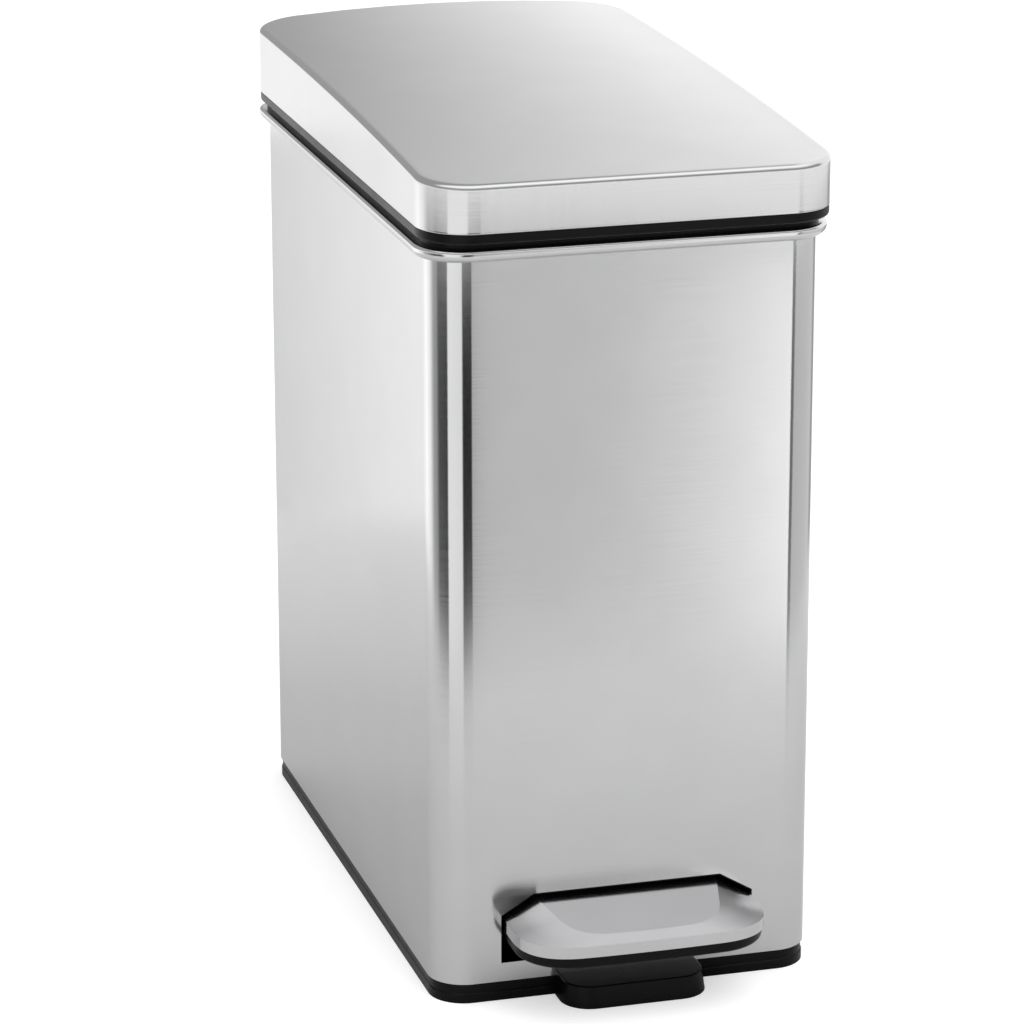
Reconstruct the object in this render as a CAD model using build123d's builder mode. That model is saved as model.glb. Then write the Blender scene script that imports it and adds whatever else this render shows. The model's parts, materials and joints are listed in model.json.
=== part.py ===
from build123d import *
from math import cos, radians, sin, tan
import os

os.makedirs("parts", exist_ok=True)

# A slim kitchen step can: brushed steel shell and lid, black moulded base and collar, and a pedal
# whose long lever pushes a rod up the back of the can and so turns the lid about its hinge pin.
# Millimetres, +Z up, front towards -Y, the floor at Z = 0.

# Driving sizes of the steel shell
shell_width = 167.5
shell_depth = 307.0
shell_radius = 16.0
shell_wall = 0.8
shell_bottom = 8.7
shell_top = 326.4

# Rolled trim around the top of the shell
trim_height = 5.6
trim_out = 4.6
trim_lip = 1.6
trim_top_round = 1.4
trim_top = shell_top + trim_lip

# Lid, larger than the shell all round
lid_over_front = 9.2
lid_over_back = 4.8
lid_over_side = 4.35
lid_radius = 22.0
lid_steel = 0.8
lid_front_height = 20.4
lid_back_rise = 9.1
lid_front_crown = 0.1
lid_back_crown = 4.3
lid_rise_power = 2.3
lid_edge_round = 2.2

# Black seam between shell and lid: rim of the collar, running gap, flange of the liner
rim_height = 2.6
rim_out = 1.0
seam_gap = 0.6
flange_height = 4.2
flange_width = 11.0
liner_wall = 2.0
skin_gap = 0.3

# Collar inside the top of the shell
collar_gap = 0.2
collar_wall = 2.0
collar_depth = 26.0
collar_plate = 4.6
collar_ledge = 7.0
shelf_depth = 29.0

# Base housing
ring_inset = 0.4
ring_ledge = 0.5
ring_wall = 3.0
floor_gap = 2.0
floor_plate = 2.5
housing_wall = 2.0
deck_plate = 2.5
foot_half_width = 32.0
foot_reach = 20.0
foot_step = 0.9
foot_radius = 13.0
foot_draft = 8.0

# Pedal opening in the front of the shell, measured from the pedal that moves in it
opening_gap = 1.2
opening_drop = 9.7
opening_headroom = 2.7
opening_corner_x = 14.5
opening_corner_z = 8.7

# Pedal
pedal_reach = 39.0
pedal_tail = 8.0
pedal_half_width = 54.5
pedal_corner = 24.0
pedal_bow = 2.0
pedal_steel = 1.0
pedal_body_low = 26.7
pedal_body_height = 5.0
pedal_rim_height = 5.0
facet_height = 44.3
facet_slope = 9.8
facet_front = 32.5
facet_side_back = 12.7
facet_side_front = 22.5
facet_corner = 14.0
pedal_underside_round = 1.5

# Pedal lever and its axle
axle_back = 80.0
axle_height = 20.0
axle_radius = 3.0
bush_wall = 2.0
pedal_angle = 6.5
lever_half_width = 15.0
lever_steel = 2.0
lever_pin_radius = 2.0
lever_end_drop = 8.0

# Lift rod, close to the back wall
rod_radius = 2.5
rod_forward = 14.0

# Lid hinge inside the back of the lid
hinge_forward = 4.0
hinge_rise = 11.4
hinge_pin_radius = 2.0
lid_angle = 80.0
crank_pin_radius = 1.5
ear_steel = 3.0
ear_place = 30.0
barrel_radius = 5.0

# Bucket
bucket_gap = 1.2
bucket_wall = 1.8
bucket_draft = 1.1
bucket_rim = 2.0
bucket_radius = 20.0
bail_radius = 1.5

# Clearances
running_gap = 0.06
pin_gap = 0.02
slot_gap = 0.15
mould_round = 0.8

# Heights and planes that follow from the sizes above
total_depth = pedal_reach + shell_depth + lid_over_back
front_y = -total_depth / 2 + pedal_reach
back_y = front_y + shell_depth
middle_y = (front_y + back_y) / 2
rim_top = trim_top + rim_height
flange_low = rim_top + seam_gap
lid_low = flange_low + flange_height
lid_width = shell_width + 2 * lid_over_side
lid_depth = shell_depth + lid_over_front + lid_over_back
lid_front_y = front_y - lid_over_front
lid_back_y = back_y + lid_over_back
lid_middle_y = (lid_front_y + lid_back_y) / 2
hinge_y = back_y - hinge_forward
hinge_height = rim_top + hinge_rise
rod_y = hinge_y - rod_forward
axle_y = front_y + axle_back
lever_reach = rod_y - axle_y
rod_lift = lever_reach * sin(radians(pedal_angle))
crank_radius = rod_lift / (2 * sin(radians(lid_angle / 2)))
crank_start = 180.0 + lid_angle / 2
facet_half_back = pedal_half_width - facet_side_back
facet_half_front = pedal_half_width - facet_side_front
opening_half_width = pedal_half_width + opening_gap
opening_low = pedal_body_low - opening_drop
opening_high = facet_height + opening_headroom
housing_top = opening_high - 1.0
deck_top = housing_top + deck_plate
floor_top = floor_gap + floor_plate
foot_height = shell_bottom + foot_step
lever_end_height = axle_height - lever_end_drop


def round_slab(low, high, inset, mode=Mode.ADD):
    """Slab with the shell's outline, drawn in by inset."""
    radius = max(shell_radius - inset, shell_wall)
    with BuildSketch(Plane.XY.offset(low)) as outline:
        with Locations((0, middle_y)):
            RectangleRounded(shell_width - 2 * inset, shell_depth - 2 * inset, radius)
    extrude(outline.sketch, amount=high - low, mode=mode)


def lid_slab(low, high, inset, mode=Mode.ADD):
    """Slab with the lid's outline, drawn in by inset."""
    with BuildSketch(Plane.XY.offset(low)) as outline:
        with Locations((0, lid_middle_y)):
            RectangleRounded(lid_width - 2 * inset, lid_depth - 2 * inset, lid_radius - inset)
    extrude(outline.sketch, amount=high - low, mode=mode)


def block(x_low, x_high, y_low, y_high, z_low, z_high, mode=Mode.ADD):
    """Square-edged block between two corners."""
    with BuildSketch(Plane.XY.offset(z_low)) as outline:
        with Locations(((x_low + x_high) / 2, (y_low + y_high) / 2)):
            Rectangle(x_high - x_low, y_high - y_low)
    extrude(outline.sketch, amount=z_high - z_low, mode=mode)


def rod_along_x(x_low, x_high, y, z, radius, mode=Mode.ADD):
    """Round rod across the can."""
    with BuildSketch(Plane.YZ.offset(x_low)) as disc:
        with Locations((y, z)):
            Circle(radius)
    extrude(disc.sketch, amount=x_high - x_low, mode=mode)


def rod_upright(x, y, z_low, z_high, radius, mode=Mode.ADD):
    """Round rod that stands upright."""
    with BuildSketch(Plane.XY.offset(z_low)) as disc:
        with Locations((x, y)):
            Circle(radius)
    extrude(disc.sketch, amount=z_high - z_low, mode=mode)


def side_plate(x_low, x_high, points, mode=Mode.ADD):
    """Plate across the can with a side profile of (y, z) points."""
    with BuildSketch(Plane.YZ.offset(x_low)) as profile:
        with BuildLine():
            Polyline(*points, close=True)
        make_face()
    extrude(profile.sketch, amount=x_high - x_low, mode=mode)


def pedal_opening(margin, sill, wall_y, depth):
    """Cuts the pedal's opening, its sides and top drawn in by margin, its sill lowered by sill."""
    half = opening_half_width - margin
    low = opening_low - sill
    high = opening_high - margin
    with BuildSketch(Plane.XZ.offset(-wall_y)) as outline:
        with BuildLine():
            Polyline(
                (-half, low),
                (half, low),
                (half, high - opening_corner_z),
                (half - opening_corner_x, high),
                (opening_corner_x - half, high),
                (-half, high - opening_corner_z),
                close=True,
            )
        make_face()
    extrude(outline.sketch, amount=depth, both=True, mode=Mode.SUBTRACT)


# Outer shell: a tube of sheet steel, rounded at its four corners
with BuildPart() as outer_shell:
    round_slab(shell_bottom, shell_top, 0)
    round_slab(shell_bottom, shell_top, shell_wall, Mode.SUBTRACT)
    pedal_opening(0, 0, front_y, 2 * shell_wall)
outer_shell.part.label = "outer_shell"
export_step(outer_shell.part, "parts/outer_shell.step")

# Rim trim: rolled bead that wraps the top edge of the shell
with BuildPart() as rim_trim:
    round_slab(trim_top - trim_height, trim_top, -trim_out)
    fillet(rim_trim.faces().sort_by(Axis.Z)[0].edges(), trim_height - trim_lip)
    fillet(rim_trim.faces().sort_by(Axis.Z)[-1].edges(), trim_top_round)
    round_slab(trim_top - trim_height, shell_top, 0, Mode.SUBTRACT)
    round_slab(shell_top, trim_top, shell_wall, Mode.SUBTRACT)
rim_trim.part.label = "rim_trim"
export_step(rim_trim.part, "parts/rim_trim.step")

# Collar: rim on the trim, wall inside the shell, ledge round the bucket and shelf for the hinge
collar_inset = shell_wall + collar_gap
collar_inner = collar_inset + collar_wall
plate_low = rim_top - collar_plate
bucket_hole_back = back_y - shelf_depth
bucket_hole_front = front_y + collar_ledge
crank_slot_half = 13.5
crank_slot_front = hinge_y - crank_radius - 6.0
crank_slot_back = hinge_y - 2.0
guide_overlap = 0.5
ear_screw_y = hinge_y - 17.5
ear_screw_places = [(side * x, ear_screw_y) for side in (-1, 1) for x in (21.5, 38.5)]
ear_screw_depth = 4.0
screw_radius = 1.5
guide_low = trim_top - collar_depth
guide_half = 7.0
guide_height = 8.0
with BuildPart() as collar:
    round_slab(trim_top, rim_top, -rim_out)
    fillet(collar.faces().sort_by(Axis.Z)[-1].edges(), mould_round)
    round_slab(guide_low, trim_top, collar_inset)
    round_slab(guide_low, plate_low, collar_inner, Mode.SUBTRACT)
    with BuildSketch(Plane.XY.offset(plate_low)):
        with Locations((0, (bucket_hole_front + bucket_hole_back) / 2)):
            RectangleRounded(
                shell_width - 2 * collar_ledge,
                bucket_hole_back - bucket_hole_front,
                bucket_radius,
            )
    extrude(amount=collar_plate, mode=Mode.SUBTRACT)
    block(
        -crank_slot_half,
        crank_slot_half,
        crank_slot_front,
        crank_slot_back,
        plate_low,
        rim_top,
        Mode.SUBTRACT,
    )
    block(
        -guide_half,
        guide_half,
        rod_y - guide_half,
        back_y - collar_inner + guide_overlap,
        guide_low,
        guide_low + guide_height,
    )
    rod_upright(0, rod_y, guide_low, guide_low + guide_height, rod_radius + running_gap, Mode.SUBTRACT)
    for x, y in ear_screw_places:
        rod_upright(x, y, rim_top - ear_screw_depth, rim_top, screw_radius + pin_gap, Mode.SUBTRACT)
collar.part.label = "collar"
export_step(collar.part, "parts/collar.step")

# Base housing: ring under the shell, floor plate, wall inside the shell, front foot, axle posts
post_thickness = 6.0
post_place = lever_half_width + 4.0
post_foot = 14.0
post_head = 7.0
boss_radius = 4.5
boss_side = 16.0
boss_end = 24.0
boss_depth = 12.0
screw_length = 10.0
ring_overlap = 1.0
housing_margin = 0.6
housing_sill = 1.0
ring_half = shell_bottom / 2
boss_x = shell_width / 2 - boss_side
boss_front = front_y + boss_end
boss_back = back_y - boss_end
boss_places = [(x, y) for x in (-boss_x, boss_x) for y in (boss_front, boss_back)]
with BuildPart() as base_housing:
    round_slab(0, ring_half, ring_inset)
    fillet(base_housing.faces().sort_by(Axis.Z)[-1].edges(), mould_round)
    round_slab(ring_half - ring_overlap, shell_bottom, ring_inset + ring_ledge)
    with BuildSketch(Plane.XY):
        with Locations((0, front_y - foot_reach / 2 + foot_radius)):
            RectangleRounded(
                2 * foot_half_width,
                foot_reach + 2 * foot_radius,
                foot_radius,
            )
    extrude(amount=foot_height, taper=foot_draft)
    fillet(base_housing.faces().sort_by(Axis.Z)[-1].edges(), mould_round)
    round_slab(shell_bottom, foot_height, 0, Mode.SUBTRACT)
    round_slab(floor_top, shell_bottom, ring_inset + ring_wall, Mode.SUBTRACT)
    round_slab(0, floor_gap, ring_inset + ring_wall, Mode.SUBTRACT)
    round_slab(shell_bottom, housing_top, collar_inset)
    round_slab(shell_bottom, housing_top, collar_inset + housing_wall, Mode.SUBTRACT)
    pedal_opening(housing_margin, housing_sill, front_y, collar_inset + housing_wall + 1.0)
    with BuildSketch(Plane.XY.offset(floor_top)):
        with Locations(*boss_places):
            Circle(boss_radius)
    extrude(amount=housing_top - floor_top)
    with BuildSketch(Plane.XY.offset(housing_top - boss_depth)):
        with Locations(*boss_places):
            Circle(screw_radius + pin_gap)
    extrude(amount=boss_depth, mode=Mode.SUBTRACT)
    for side in (-1, 1):
        post_low = side * post_place - post_thickness / 2
        side_plate(
            post_low,
            post_low + post_thickness,
            [
                (axle_y - post_foot, floor_top),
                (axle_y + post_foot, floor_top),
                (axle_y + post_head, axle_height + post_head),
                (axle_y - post_head, axle_height + post_head),
            ],
        )
    rod_along_x(
        -post_place - post_thickness,
        post_place + post_thickness,
        axle_y,
        axle_height,
        axle_radius + pin_gap,
        Mode.SUBTRACT,
    )
base_housing.part.label = "base_housing"
export_step(base_housing.part, "parts/base_housing.step")

# Base deck: plate over the pedal mechanism with a lip inside the housing and a guide for the rod
deck_lip_gap = 0.3
deck_lip_inset = collar_inset + housing_wall + deck_lip_gap
deck_lip = 4.0
deck_lip_wall = 1.6
lip_clear = 4.0
guide_radius = 6.0
guide_sleeve = 8.0
head_radius = 3.2
head_height = 1.5
head_gap = 0.2
with BuildPart() as base_deck:
    round_slab(housing_top, deck_top, collar_inset)
    round_slab(housing_top - deck_lip, housing_top, deck_lip_inset)
    round_slab(housing_top - deck_lip, housing_top, deck_lip_inset + deck_lip_wall, Mode.SUBTRACT)
    block(
        -opening_half_width - lip_clear,
        opening_half_width + lip_clear,
        front_y,
        front_y + pedal_tail + lip_clear,
        housing_top - deck_lip,
        housing_top,
        Mode.SUBTRACT,
    )
    rod_upright(0, rod_y, deck_top, deck_top + guide_sleeve, guide_radius)
    rod_upright(0, rod_y, housing_top, deck_top + guide_sleeve, rod_radius + running_gap, Mode.SUBTRACT)
    for x, y in boss_places:
        rod_upright(x, y, housing_top, deck_top, screw_radius + pin_gap, Mode.SUBTRACT)
        rod_upright(x, y, deck_top - head_height, deck_top, head_radius + head_gap, Mode.SUBTRACT)
base_deck.part.label = "base_deck"
export_step(base_deck.part, "parts/base_deck.step")

# Base screws: hold the deck to the four bosses of the housing
with BuildPart() as base_screws:
    for x, y in boss_places:
        rod_upright(x, y, housing_top - screw_length, deck_top, screw_radius)
        rod_upright(x, y, deck_top - head_height, deck_top, head_radius)
base_screws.part.label = "base_screws"
export_step(base_screws.part, "parts/base_screws.step")

# Floor pads: rubber discs in the recess under the base
pad_radius = 8.0
with BuildPart() as floor_pads:
    for x, y in boss_places:
        rod_upright(x, y, 0, floor_gap, pad_radius)
floor_pads.part.label = "floor_pads"
export_step(floor_pads.part, "parts/floor_pads.step")

# Pedal axle: steel rod through both posts
post_outer = post_place + post_thickness / 2
cap_length = 4.0
cap_wall = 2.0
cap_floor = 1.0
axle_end = post_outer + cap_length - cap_floor
with BuildPart() as pedal_axle:
    rod_along_x(-axle_end, axle_end, axle_y, axle_height, axle_radius)
pedal_axle.part.label = "pedal_axle"
export_step(pedal_axle.part, "parts/pedal_axle.step")

# Axle caps: keep the axle from sliding out of the posts
with BuildPart() as axle_caps:
    for side in (-1, 1):
        inner, outer = sorted((side * post_outer, side * (post_outer + cap_length)))
        rod_along_x(inner, outer, axle_y, axle_height, axle_radius + cap_wall)
    rod_along_x(-axle_end, axle_end, axle_y, axle_height, axle_radius + pin_gap, Mode.SUBTRACT)
axle_caps.part.label = "axle_caps"
export_step(axle_caps.part, "parts/axle_caps.step")

# Hinge bracket: two goose-neck ears that stand on the collar's shelf and hold the hinge pin
ear_radius = 4.6
ear_plate = 2.0
ear_shoulder = 12.0
ear_neck = 9.5
ear_foot_inner = 16.0
ear_foot_outer = 44.0
ear_foot_front = hinge_y - 22.0
ear_foot_back = hinge_y - 10.5
with BuildPart() as hinge_bracket:
    for side in (-1, 1):
        ear_low = side * ear_place - ear_steel / 2
        foot_low, foot_high = sorted((side * ear_foot_inner, side * ear_foot_outer))
        rod_along_x(ear_low, ear_low + ear_steel, hinge_y, hinge_height, ear_radius)
        side_plate(
            ear_low,
            ear_low + ear_steel,
            [
                (hinge_y, hinge_height + ear_radius),
                (hinge_y - ear_shoulder, hinge_height + 1),
                (ear_foot_front + 2, hinge_height - 6),
                (ear_foot_front + 2, rim_top),
                (ear_foot_back, rim_top),
                (hinge_y - ear_neck, hinge_height - 7.4),
                (hinge_y - 2.1, hinge_height - 4.1),
            ],
        )
        block(foot_low, foot_high, ear_foot_front, ear_foot_back, rim_top, rim_top + ear_plate)
    rod_along_x(
        -ear_place - ear_steel,
        ear_place + ear_steel,
        hinge_y,
        hinge_height,
        hinge_pin_radius + pin_gap,
        Mode.SUBTRACT,
    )
    for x, y in ear_screw_places:
        rod_upright(x, y, rim_top, rim_top + ear_plate, screw_radius + pin_gap, Mode.SUBTRACT)
hinge_bracket.part.label = "hinge_bracket"
export_step(hinge_bracket.part, "parts/hinge_bracket.step")

# Bracket screws: through the ears' feet into the shelf
with BuildPart() as bracket_screws:
    for x, y in ear_screw_places:
        rod_upright(x, y, rim_top - ear_screw_depth, rim_top + ear_plate, screw_radius)
        rod_upright(x, y, rim_top + ear_plate, rim_top + ear_plate + head_height, head_radius)
bracket_screws.part.label = "bracket_screws"
export_step(bracket_screws.part, "parts/bracket_screws.step")

# Hinge pin, with a head at each end
pin_head = 1.2
pin_end = ear_place + ear_steel / 2 + 0.3
with BuildPart() as hinge_pin:
    rod_along_x(-pin_end, pin_end, hinge_y, hinge_height, hinge_pin_radius)
    rod_along_x(-pin_end - pin_head, -pin_end, hinge_y, hinge_height, hinge_pin_radius + pin_head)
    rod_along_x(pin_end, pin_end + pin_head, hinge_y, hinge_height, hinge_pin_radius + pin_head)
hinge_pin.part.label = "hinge_pin"
export_step(hinge_pin.part, "parts/hinge_pin.step")

# Damper body: small air cylinder beside the lift rod, open at its lower end
damper_x = 16.0
damper_radius = 6.0
damper_bore = 4.6
damper_rise = 166.5
damper_length = 70.0
damper_cap = 3.0
damper_low = deck_top + damper_rise
damper_high = damper_low + damper_length
with BuildPart() as damper_body:
    rod_upright(damper_x, rod_y, damper_low, damper_high, damper_radius)
    rod_upright(damper_x, rod_y, damper_low, damper_high - damper_cap, damper_bore, Mode.SUBTRACT)
damper_body.part.label = "damper_body"
export_step(damper_body.part, "parts/damper_body.step")

# Damper clip: ring round the cylinder with a pad on the back wall of the shell
clip_wall = 2.5
clip_low = damper_low + 25.0
clip_high = clip_low + 16.0
clip_radius = damper_radius + clip_wall
with BuildPart() as damper_clip:
    rod_upright(damper_x, rod_y, clip_low, clip_high, clip_radius)
    block(
        damper_x - damper_radius,
        damper_x + damper_radius,
        rod_y + damper_radius,
        back_y - shell_wall,
        clip_low,
        clip_high,
    )
    rod_upright(damper_x, rod_y, clip_low, clip_high, damper_radius + pin_gap, Mode.SUBTRACT)
damper_clip.part.label = "damper_clip"
export_step(damper_clip.part, "parts/damper_clip.step")

# Inner bucket: drafted plastic bucket with a rim, standing on the deck
bucket_sink = 1.0
bucket_round = 4.0
bucket_top = rim_top - bucket_sink
bucket_half = shell_width / 2 - collar_ledge - bucket_gap
bucket_front = bucket_hole_front + bucket_gap
bucket_back = bucket_hole_back - bucket_gap
bucket_middle = (bucket_front + bucket_back) / 2
bucket_length = bucket_back - bucket_front
rim_band = 3.0


def bucket_form(inset, low, mode=Mode.ADD):
    """Drafted block of the bucket, drawn in by inset, from low to the bucket's top."""
    height = bucket_top - low
    bottom_inset = inset + height * tan(radians(bucket_draft))
    with BuildSketch(Plane.XY.offset(low)) as bottom_outline:
        with Locations((0, bucket_middle)):
            RectangleRounded(
                2 * (bucket_half - bottom_inset),
                bucket_length - 2 * bottom_inset,
                bucket_radius - bottom_inset,
            )
    extrude(bottom_outline.sketch, amount=height, taper=-bucket_draft, mode=mode)


bail_drop = 8.0
bail_height = bucket_top - bail_drop
bail_pivot = bucket_middle
bail_hole = bucket_rim + bucket_wall + bail_radius
with BuildPart() as inner_bucket:
    bucket_form(bucket_rim, deck_top)
    fillet(inner_bucket.faces().sort_by(Axis.Z)[0].edges(), bucket_round)
    with BuildSketch(Plane.XY.offset(bucket_top - rim_band)):
        with Locations((0, bucket_middle)):
            RectangleRounded(2 * bucket_half, bucket_length, bucket_radius)
    extrude(amount=rim_band)
    bucket_form(bucket_rim + bucket_wall, deck_top + bucket_wall, Mode.SUBTRACT)
    for side in (-1, 1):
        low, high = sorted((side * (bucket_half - bail_hole), side * bucket_half))
        rod_along_x(low, high, bail_pivot, bail_height, bail_radius + running_gap, Mode.SUBTRACT)
inner_bucket.part.label = "inner_bucket"
export_step(inner_bucket.part, "parts/inner_bucket.step")

# Bucket handle: wire bail folded down inside the rim
bail_corner = 14.0
bail_elbow = 2.0
bail_out = bucket_half - 0.6
bail_in = bucket_half - bucket_rim - bucket_wall - 3.6
bail_front = bucket_front + bail_corner
with BuildPart() as bucket_handle:
    with BuildLine() as bail_path:
        FilletPolyline(
            (-bail_out, bail_pivot, bail_height),
            (-bail_in, bail_pivot, bail_height),
            (-bail_in, bail_front, bail_height),
            (bail_in, bail_front, bail_height),
            (bail_in, bail_pivot, bail_height),
            (bail_out, bail_pivot, bail_height),
            radius=[bail_elbow, bail_corner, bail_corner, bail_elbow],
        )
    with BuildSketch(Plane(origin=bail_path.line @ 0, z_dir=bail_path.line % 0)):
        Circle(bail_radius)
    sweep()
bucket_handle.part.label = "bucket_handle"
export_step(bucket_handle.part, "parts/bucket_handle.step")

# Handle grip: moulded tube on the middle of the bail
grip_half = 28.0
grip_radius = 4.0
grip_round = 1.2
with BuildPart() as handle_grip:
    rod_along_x(-grip_half, grip_half, bail_front, bail_height, grip_radius)
    fillet(handle_grip.edges(), grip_round)
    rod_along_x(-grip_half, grip_half, bail_front, bail_height, bail_radius + pin_gap, Mode.SUBTRACT)
handle_grip.part.label = "handle_grip"
export_step(handle_grip.part, "parts/handle_grip.step")

# Pedal outline: straight sides, a slightly bowed front and large rounded front corners
pedal_tip = front_y - pedal_reach
pedal_back = front_y + pedal_tail
cover_low = pedal_body_low + pedal_body_height
cover_edge = cover_low + pedal_rim_height


def pedal_sketch(plane, half_back, half_front, back, tip, corner):
    """Outline with a straight back, a bowed front and two rounded front corners."""
    with BuildSketch(plane) as outline:
        with BuildLine():
            Line((half_front, tip + pedal_bow), (half_back, back))
            Line((half_back, back), (-half_back, back))
            Line((-half_back, back), (-half_front, tip + pedal_bow))
            ThreePointArc((-half_front, tip + pedal_bow), (0, tip), (half_front, tip + pedal_bow))
        make_face()
        tips = [v for v in outline.vertices() if abs(plane.to_local_coords(v).Y - tip - pedal_bow) < 0.01]
        fillet(tips, corner)
    return outline.sketch


def pedal_slab(inset, back, low, high, mode=Mode.ADD):
    """Upright slab of the pedal's outline, drawn in by inset."""
    half = pedal_half_width - inset
    outline = pedal_sketch(Plane.XY.offset(low), half, half, back, pedal_tip + inset, pedal_corner - inset)
    extrude(outline, amount=high - low, mode=mode)


def pedal_roof(inset, back, mode=Mode.ADD):
    """Bevelled roof from the top edge of the rim to the sloping facet, drawn in by inset."""
    half = pedal_half_width - inset
    facet_plane = Plane(
        origin=(0, front_y, facet_height - inset),
        x_dir=(1, 0, 0),
        z_dir=(0, -sin(radians(facet_slope)), cos(radians(facet_slope))),
    )
    edge_plane = Plane.XY.offset(cover_edge - inset)
    edge_outline = pedal_sketch(edge_plane, half, half, back, pedal_tip + inset, pedal_corner - inset)
    rear = (back - front_y) / cos(radians(facet_slope))
    facet_outline = pedal_sketch(
        facet_plane, facet_half_back, facet_half_front, rear, -facet_front, facet_corner
    )
    loft([edge_outline, facet_outline], ruled=True, mode=mode)


# Pedal cover: brushed steel cap with an upright rim, wide bevels and a sloping top facet
with BuildPart() as pedal_cover:
    pedal_slab(0, pedal_back, cover_low, cover_edge)
    pedal_roof(0, pedal_back)
    pedal_slab(pedal_steel, pedal_back + 1, cover_low, cover_edge - pedal_steel, Mode.SUBTRACT)
    pedal_roof(pedal_steel, pedal_back + 1, Mode.SUBTRACT)
pedal_cover.part.label = "pedal_cover"
export_step(pedal_cover.part, "parts/pedal_cover.step")

# Pedal body: black moulding under the cover, ribbed from below
body_inset = 0.5
body_rim = 3.0
body_floor = 2.0
rib_half = 0.8
rib_front = 2.0
rib_lift = 0.5
rib_places = (-36.0, -18.0, 0.0, 18.0, 36.0)
tongue_front = front_y - 25.0
rivet_places = [(side * 8.0, y) for side in (-1, 1) for y in (front_y - 19.0, front_y - 3.0)]
rivet_radius = 1.5
rivet_head = 3.0
rivet_head_height = 1.0
pocket_top = cover_low - body_floor
with BuildPart() as pedal_body:
    pedal_slab(body_inset, pedal_back, pedal_body_low, cover_low)
    fillet(pedal_body.faces().sort_by(Axis.Z)[0].edges(), pedal_underside_round)
    pedal_slab(body_inset + body_rim, pedal_back - body_rim, pedal_body_low, pocket_top, Mode.SUBTRACT)
    for x in rib_places:
        block(
            x - rib_half,
            x + rib_half,
            pedal_tip + body_rim + rib_front,
            pedal_back - body_rim,
            pedal_body_low + rib_lift,
            pocket_top,
        )
    for x, y in rivet_places:
        rod_upright(x, y, pocket_top, cover_low, rivet_radius + pin_gap, Mode.SUBTRACT)
pedal_body.part.label = "pedal_body"
export_step(pedal_body.part, "parts/pedal_body.step")

# Pedal lever: pressed steel channel, with a tongue under the cover and cheeks over the axle
cheek_front = pedal_back + 1.5
cheek_rise = 7.0
cheek_half = 8.0
knee_y = front_y + 25.0
belly_y = front_y + 40.0
open_end = 16.0
lever_back = rod_y + 7.0
lever_end_top = lever_end_height + 5.0
lever_end_low = lever_end_height - 4.5
tongue_top = cover_low + lever_steel
bush_radius = axle_radius + bush_wall
lever_top = [(tongue_front, tongue_top), (knee_y, tongue_top), (axle_y, axle_height + cheek_half)]
with BuildPart() as pedal_lever:
    side_plate(
        -lever_half_width,
        lever_half_width,
        [
            *lever_top,
            (lever_back, lever_end_top),
            (lever_back, lever_end_low),
            (axle_y, axle_height - cheek_half),
            (belly_y, axle_height - 1),
            (cheek_front, axle_height + cheek_rise),
            (cheek_front, cover_low),
            (tongue_front, cover_low),
        ],
    )
    side_plate(
        lever_steel - lever_half_width,
        lever_half_width - lever_steel,
        [
            (cheek_front - 1, 0),
            (cheek_front - 1, cover_low),
            (knee_y, cover_low),
            (axle_y, axle_height + cheek_half - lever_steel),
            (rod_y - open_end, lever_end_top - lever_steel + 0.6),
            (rod_y - open_end, lever_end_top + cheek_half),
            (lever_back + 1, lever_end_top + cheek_half),
            (lever_back + 1, 0),
        ],
        Mode.SUBTRACT,
    )
    rod_along_x(
        -lever_half_width, lever_half_width, axle_y, axle_height, bush_radius + pin_gap, Mode.SUBTRACT
    )
    rod_along_x(
        -lever_half_width,
        lever_half_width,
        rod_y,
        lever_end_height,
        lever_pin_radius + pin_gap,
        Mode.SUBTRACT,
    )
    for x, y in rivet_places:
        rod_upright(x, y, cover_low, tongue_top, rivet_radius + pin_gap, Mode.SUBTRACT)
pedal_lever.part.label = "pedal_lever"
export_step(pedal_lever.part, "parts/pedal_lever.step")

# Lever bushes: plastic bushes in both cheeks, running on the axle
bush_inner = lever_half_width - lever_steel - 1.0
bush_outer = lever_half_width + 0.6
with BuildPart() as lever_bushes:
    for side in (-1, 1):
        low, high = sorted((side * bush_inner, side * bush_outer))
        rod_along_x(low, high, axle_y, axle_height, bush_radius)
    rod_along_x(-bush_outer, bush_outer, axle_y, axle_height, axle_radius + running_gap, Mode.SUBTRACT)
lever_bushes.part.label = "lever_bushes"
export_step(lever_bushes.part, "parts/lever_bushes.step")

# Pedal rivets: through the tongue and the pedal body, a head on each side
with BuildPart() as pedal_rivets:
    for x, y in rivet_places:
        rod_upright(x, y, pocket_top, tongue_top, rivet_radius)
        rod_upright(x, y, tongue_top, tongue_top + rivet_head_height, rivet_head)
        rod_upright(x, y, pocket_top - rivet_head_height, pocket_top, rivet_head)
pedal_rivets.part.label = "pedal_rivets"
export_step(pedal_rivets.part, "parts/pedal_rivets.step")

# Lever pin: cross pin at the back end of the lever, inside the slot of the rod's foot
lever_pin_end = lever_half_width + 1.5
with BuildPart() as lever_pin:
    rod_along_x(-lever_pin_end, lever_pin_end, rod_y, lever_end_height, lever_pin_radius)
lever_pin.part.label = "lever_pin"
export_step(lever_pin.part, "parts/lever_pin.step")

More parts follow.
